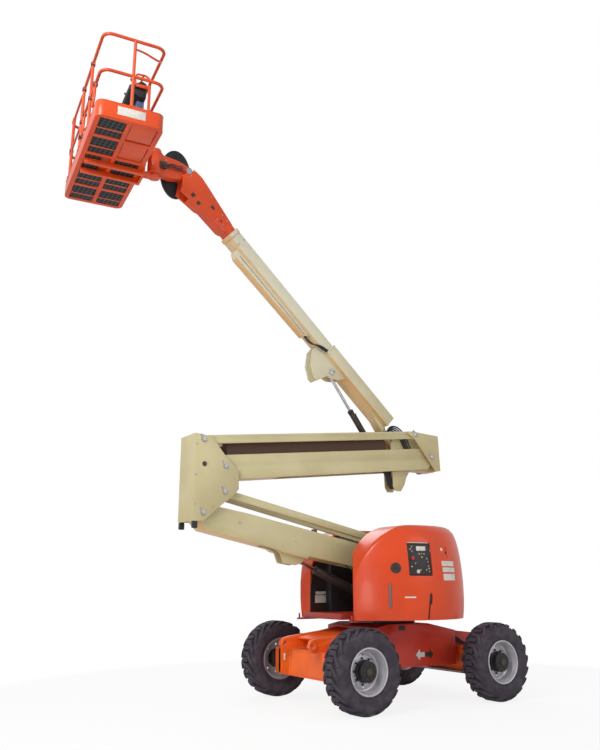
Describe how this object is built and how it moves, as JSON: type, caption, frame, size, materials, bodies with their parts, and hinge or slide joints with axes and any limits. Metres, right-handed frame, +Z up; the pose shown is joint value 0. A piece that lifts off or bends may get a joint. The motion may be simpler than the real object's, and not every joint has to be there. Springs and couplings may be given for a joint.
{
  "type": "articulating boom lift",
  "caption": "Self-propelled articulating boom lift with steered and driven wheels, slewing turntable, folding arm tower, telescopic boom and railed platform.",
  "frame": {"origin": "on the ground under the turntable's swing axis, midway between the axles and between the sides", "axes": "+X towards the steered axle, +Y towards the machine's left side, +Z up; the boom and platform lie towards -X"},
  "size_m": [6.3414, 2.34, 7.896],
  "materials": {
    "chassis_paint": "satin",
    "axle_paint": "satin",
    "bare_steel": "satin",
    "tyre_rubber": "matte",
    "wheel_silver": "satin",
    "deck_paint": "satin",
    "hood_shell": "gloss",
    "counterweight_iron": "satin",
    "engine_iron": "matte",
    "black_plastic": "matte",
    "black_steel": "satin",
    "cream_paint": "satin",
    "orange_paint": "satin",
    "chrome_rod": "polished",
    "hose_rubber": "matte",
    "platform_aluminium": "satin"
  },
  "bodies": {
    "chassis": {"chassis_frame": "chassis_paint", "rear_axle": "axle_paint", "front_axle": "axle_paint", "slew_ring": "bare_steel"},
    "rear_left_wheel": {"rear_left_tyre": "tyre_rubber", "rear_left_rim": "wheel_silver"},
    "rear_right_wheel": {"rear_right_tyre": "tyre_rubber", "rear_right_rim": "wheel_silver"},
    "front_left_wheel": {"front_left_tyre": "tyre_rubber", "front_left_rim": "wheel_silver"},
    "front_right_wheel": {"front_right_tyre": "tyre_rubber", "front_right_rim": "wheel_silver"},
    "left_knuckle": {"left_knuckle": "axle_paint"},
    "right_knuckle": {"right_knuckle": "axle_paint"},
    "tie_rod": {"tie_rod": "bare_steel"},
    "turntable": {"turntable_frame": "deck_paint", "counterweight": "counterweight_iron", "engine_block": "engine_iron", "fluid_tank": "black_plastic", "valve_box": "black_steel"},
    "control_hood": {"control_hood": "hood_shell", "ground_control_panel": "black_plastic"},
    "engine_hood": {"engine_hood": "hood_shell"},
    "lower_arm": {"lower_arm": "cream_paint"},
    "lower_link": {"lower_link_left": "cream_paint", "lower_link_right": "cream_paint"},
    "rear_upright": {"rear_upright": "cream_paint"},
    "upper_arm": {"upper_arm": "cream_paint", "arm_hose_tray": "black_steel"},
    "upper_link": {"upper_link_left": "cream_paint", "upper_link_right": "cream_paint"},
    "front_upright": {"front_upright": "cream_paint"},
    "tower_cylinder_barrel": {"tower_cylinder_barrel": "black_steel"},
    "tower_cylinder_rod": {"tower_cylinder_rod": "chrome_rod"},
    "boom": {"base_boom": "cream_paint", "hose_carrier": "cream_paint"},
    "boom_cylinder_barrel": {"boom_cylinder_barrel": "black_steel"},
    "boom_cylinder_rod": {"boom_cylinder_rod": "chrome_rod"},
    "fly_boom": {"fly_boom": "orange_paint"},
    "level_arm": {"level_arm": "orange_paint", "hose_loop": "hose_rubber"},
    "platform": {"platform_support": "orange_paint", "platform_floor": "platform_aluminium", "platform_rails": "platform_aluminium", "control_console": "black_plastic"},
    "platform_gate": {"platform_gate": "platform_aluminium"}
  },
  "joints": [
    {"name": "rear_left_spin", "type": "hinge", "parent": "chassis", "child": "rear_left_wheel", "pos_m": [-1.1, 1.005, 0.495], "axis": [0, 1, 0], "continuous": true},
    {"name": "rear_right_spin", "type": "hinge", "parent": "chassis", "child": "rear_right_wheel", "pos_m": [-1.1, -1.005, 0.495], "axis": [0, 1, 0], "continuous": true},
    {"name": "steer_left", "type": "hinge", "parent": "chassis", "child": "left_knuckle", "pos_m": [1.1, 0.8, 0.495], "axis": [0, 0, 1], "range_deg": [-30, 30]},
    {"name": "steer_right", "type": "hinge", "parent": "chassis", "child": "right_knuckle", "pos_m": [1.1, -0.8, 0.495], "axis": [0, 0, 1], "range_deg": [-31, 31]},
    {"name": "tie_rod_shift", "type": "slide", "parent": "chassis", "child": "tie_rod", "axis": [0, 1, 0], "range_m": [-0.12, 0.12]},
    {"name": "front_left_spin", "type": "hinge", "parent": "left_knuckle", "child": "front_left_wheel", "pos_m": [1.1, 1.005, 0.495], "axis": [0, 1, 0], "continuous": true},
    {"name": "front_right_spin", "type": "hinge", "parent": "right_knuckle", "child": "front_right_wheel", "pos_m": [1.1, -1.005, 0.495], "axis": [0, 1, 0], "continuous": true},
    {"name": "turntable_swing", "type": "hinge", "parent": "chassis", "child": "turntable", "pos_m": [0, 0, 1], "axis": [0, 0, 1], "range_deg": [-177.5, 177.5]},
    {"name": "control_hood_swing", "type": "hinge", "parent": "turntable", "child": "control_hood", "pos_m": [-0.955, -0.61, 1.6], "axis": [0, 0, -1], "range_deg": [0, 75]},
    {"name": "engine_hood_swing", "type": "hinge", "parent": "turntable", "child": "engine_hood", "pos_m": [-0.965, 0.605, 1.6], "axis": [0, 0, 1], "range_deg": [0, 75]},
    {"name": "tower_lift", "type": "hinge", "parent": "turntable", "child": "lower_arm", "pos_m": [0.4168, 0, 1.6235], "axis": [0, 1, 0], "range_deg": [-9.3, 48]},
    {"name": "lower_link_swing", "type": "hinge", "parent": "turntable", "child": "lower_link", "pos_m": [0.7068, 0, 1.8935], "axis": [0, 1, 0], "range_deg": [-9.5, 48.5]},
    {"name": "rear_upright_level", "type": "hinge", "parent": "lower_arm", "child": "rear_upright", "pos_m": [-2.86, 0, 2.32], "axis": [0, 1, 0], "range_deg": [-48.5, 9.5]},
    {"name": "upper_arm_raise", "type": "hinge", "parent": "rear_upright", "child": "upper_arm", "pos_m": [-2.57, 0, 2.91], "axis": [0, 1, 0], "range_deg": [-48.5, 9.5]},
    {"name": "upper_link_swing", "type": "hinge", "parent": "rear_upright", "child": "upper_link", "pos_m": [-2.88, 0, 3.22], "axis": [0, 1, 0], "range_deg": [-48.5, 9.5]},
    {"name": "front_upright_level", "type": "hinge", "parent": "upper_arm", "child": "front_upright", "pos_m": [0.8664, 0, 3.3137], "axis": [0, 1, 0], "range_deg": [-9.5, 48.5]},
    {"name": "tower_cylinder_swing", "type": "hinge", "parent": "turntable", "child": "tower_cylinder_barrel", "pos_m": [0, 0, 1.2], "axis": [0, 1, 0], "range_deg": [-11, 51]},
    {"name": "tower_cylinder_extend", "type": "slide", "parent": "tower_cylinder_barrel", "child": "tower_cylinder_rod", "axis": [-0.9209, 0, 0.3898], "range_m": [-0.105, 0.5]},
    {"name": "boom_lift", "type": "hinge", "parent": "front_upright", "child": "boom", "pos_m": [0.26, 0, 3.47], "axis": [0, 1, 0], "range_deg": [-34, 33]},
    {"name": "boom_cylinder_swing", "type": "hinge", "parent": "front_upright", "child": "boom_cylinder_barrel", "pos_m": [0.286, 0, 2.87], "axis": [0, 1, 0], "range_deg": [-26, 25.5]},
    {"name": "boom_cylinder_extend", "type": "slide", "parent": "boom_cylinder_barrel", "child": "boom_cylinder_rod", "axis": [-0.5965, 0, 0.8026], "range_m": [-0.205, 0.2]},
    {"name": "telescope", "type": "slide", "parent": "boom", "child": "fly_boom", "axis": [-0.7431, 0, 0.6691], "range_m": [0, 2.3]},
    {"name": "platform_level", "type": "hinge", "parent": "fly_boom", "child": "level_arm", "pos_m": [-3.18, 0, 6.9], "axis": [0, 1, 0], "range_deg": [-33.5, 34.5]},
    {"name": "platform_rotate", "type": "hinge", "parent": "level_arm", "child": "platform", "pos_m": [-3.64, 0, 6.9], "axis": [0, 0, 1], "range_deg": [-83.6, 96.4]},
    {"name": "gate_swing", "type": "hinge", "parent": "platform", "child": "platform_gate", "pos_m": [-4.5139, 0.9016, 7.3], "axis": [0, 0, 1], "range_deg": [0, 90]}
  ],
  "couplings": [
    {"joint": "steer_right", "follows": "steer_left", "ratio": 1},
    {"joint": "tie_rod_shift", "follows": "steer_left", "m_per_rad": -0.21},
    {"joint": "lower_link_swing", "follows": "tower_lift", "ratio": 1},
    {"joint": "rear_upright_level", "follows": "tower_lift", "ratio": -1},
    {"joint": "upper_arm_raise", "follows": "tower_lift", "ratio": -1},
    {"joint": "upper_link_swing", "follows": "tower_lift", "ratio": -1},
    {"joint": "front_upright_level", "follows": "tower_lift", "ratio": 1},
    {"joint": "tower_cylinder_swing", "follows": "tower_lift", "ratio": 1.0204},
    {"joint": "tower_cylinder_extend", "follows": "tower_lift", "m_per_rad": 0.5805},
    {"joint": "boom_cylinder_swing", "follows": "boom_lift", "ratio": 0.7471},
    {"joint": "boom_cylinder_extend", "follows": "boom_lift", "m_per_rad": 0.3366},
    {"joint": "platform_level", "follows": "boom_lift", "ratio": -1}
  ]
}
